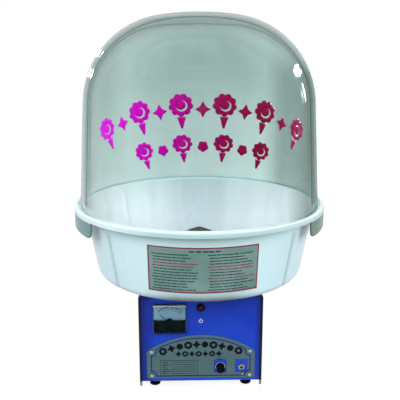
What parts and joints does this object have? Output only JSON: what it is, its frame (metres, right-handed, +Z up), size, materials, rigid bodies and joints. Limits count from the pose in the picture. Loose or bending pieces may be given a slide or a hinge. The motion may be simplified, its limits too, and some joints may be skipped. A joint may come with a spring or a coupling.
{
  "type": "cotton candy machine",
  "caption": "Electric cotton candy machine: square blue cabinet with meter, knob and switch, round white tub round a spinning head, and a tall clear dome.",
  "frame": {"origin": "on the floor under the middle of the machine", "axes": "+Z up along the head's axis of rotation, -Y out of the control panel, +X to the right seen from the front"},
  "size_m": [0.52, 0.52, 0.7558],
  "materials": {
    "blue_paint": "smooth semi-gloss blue paint on sheet steel",
    "black_rubber": "matt moulded rubber",
    "silver_plate": "satin anodised sheet with a printed border",
    "screw_steel": "bright plated steel",
    "black_plastic": "moulded black plastic",
    "white_dial": "matt white printed dial",
    "clear_plastic": "clear moulded plastic",
    "red_lens": "dark red translucent lens, unlit",
    "chrome_ring": "polished plating",
    "brass_metal": "polished brass",
    "grey_motor": "grey enamel",
    "zinc_steel": "zinc plated steel",
    "brown_insulator": "moulded insulating resin",
    "carbon_block": "pressed carbon",
    "cast_aluminium": "turned cast aluminium",
    "heater_steel": "heat-stained steel",
    "white_plastic": "glossy white moulded plastic",
    "dome_plastic": "clear, faintly green blown plastic"
  },
  "bodies": {
    "cabinet": {"chassis": "blue_paint", "cover": "blue_paint", "cover_screw_front_left": "screw_steel", "cover_screw_rear_left": "screw_steel", "cover_screw_front_right": "screw_steel", "cover_screw_rear_right": "screw_steel", "foot_front_left": "black_rubber", "foot_rear_left": "black_rubber", "foot_front_right": "black_rubber", "foot_rear_right": "black_rubber", "nameplate": "silver_plate", "nameplate_screw_lower_left": "screw_steel", "nameplate_screw_upper_left": "screw_steel", "nameplate_screw_lower_right": "screw_steel", "nameplate_screw_upper_right": "screw_steel", "meter_case": "black_plastic", "meter_nut_left": "screw_steel", "meter_nut_right": "screw_steel", "meter_dial": "white_dial", "meter_lens": "clear_plastic", "meter_mask": "black_plastic", "lamp_bezel": "black_plastic", "lamp_lens": "red_lens", "lamp_nut": "screw_steel", "heat_control_body": "brown_insulator", "heat_control_nut": "screw_steel", "toggle_body": "zinc_steel", "toggle_nut": "chrome_ring", "motor_housing": "grey_motor", "motor_end_cap": "cast_aluminium", "motor_bridge": "zinc_steel", "motor_mount_front_left": "black_rubber", "motor_mount_rear_left": "black_rubber", "motor_mount_front_right": "black_rubber", "motor_mount_rear_right": "black_rubber", "brush_lower": "carbon_block", "brush_upper": "carbon_block", "brush_holder": "brown_insulator", "terminal_block": "white_plastic", "power_inlet": "black_plastic", "bowl_seat": "cast_aluminium"},
    "spinning_head": {"drive_shaft": "screw_steel", "slip_ring_drum": "brown_insulator", "slip_ring_lower": "brass_metal", "slip_ring_upper": "brass_metal", "head_base": "cast_aluminium", "head_band": "zinc_steel", "heating_element": "heater_steel", "head_cover": "cast_aluminium", "head_cap": "black_plastic"},
    "tub_bowl": {"tub": "white_plastic"},
    "dome_shell": {"dome": "dome_plastic"},
    "heat_knob_set": {"heat_knob": "black_plastic", "heat_knob_ring": "chrome_ring", "heat_control_shaft": "zinc_steel"},
    "switch_lever": {"toggle_lever": "brass_metal"},
    "needle": {"meter_needle": "black_plastic"},
    "zero_adjuster": {"meter_zero_screw": "black_plastic"}
  },
  "joints": [
    {"name": "head_spin", "type": "hinge", "parent": "cabinet", "child": "spinning_head", "pos_m": [0, 0, 0.25], "axis": [0, 0, 1], "continuous": true},
    {"name": "tub_lift", "type": "slide", "parent": "cabinet", "child": "tub_bowl", "axis": [0, 0, 1], "range_m": [0, 0.12]},
    {"name": "dome_lift", "type": "slide", "parent": "tub_bowl", "child": "dome_shell", "axis": [0, 0, 1], "range_m": [0, 0.3]},
    {"name": "heat_knob_turn", "type": "hinge", "parent": "cabinet", "child": "heat_knob_set", "pos_m": [0.0396, -0.13, 0.054], "axis": [0, 1, 0], "range_deg": [0, 300]},
    {"name": "switch_flip", "type": "hinge", "parent": "cabinet", "child": "switch_lever", "pos_m": [0.0828, -0.128, 0.054], "axis": [-1, 0, 0], "range_deg": [0, 24]},
    {"name": "needle_swing", "type": "hinge", "parent": "cabinet", "child": "needle", "pos_m": [-0.0625, -0.13, 0.1509], "axis": [0, 1, 0], "range_deg": [0, 90]},
    {"name": "zero_adjust", "type": "hinge", "parent": "cabinet", "child": "zero_adjuster", "pos_m": [-0.0625, -0.136, 0.1414], "axis": [0, 1, 0], "range_deg": [-45, 45]}
  ]
}
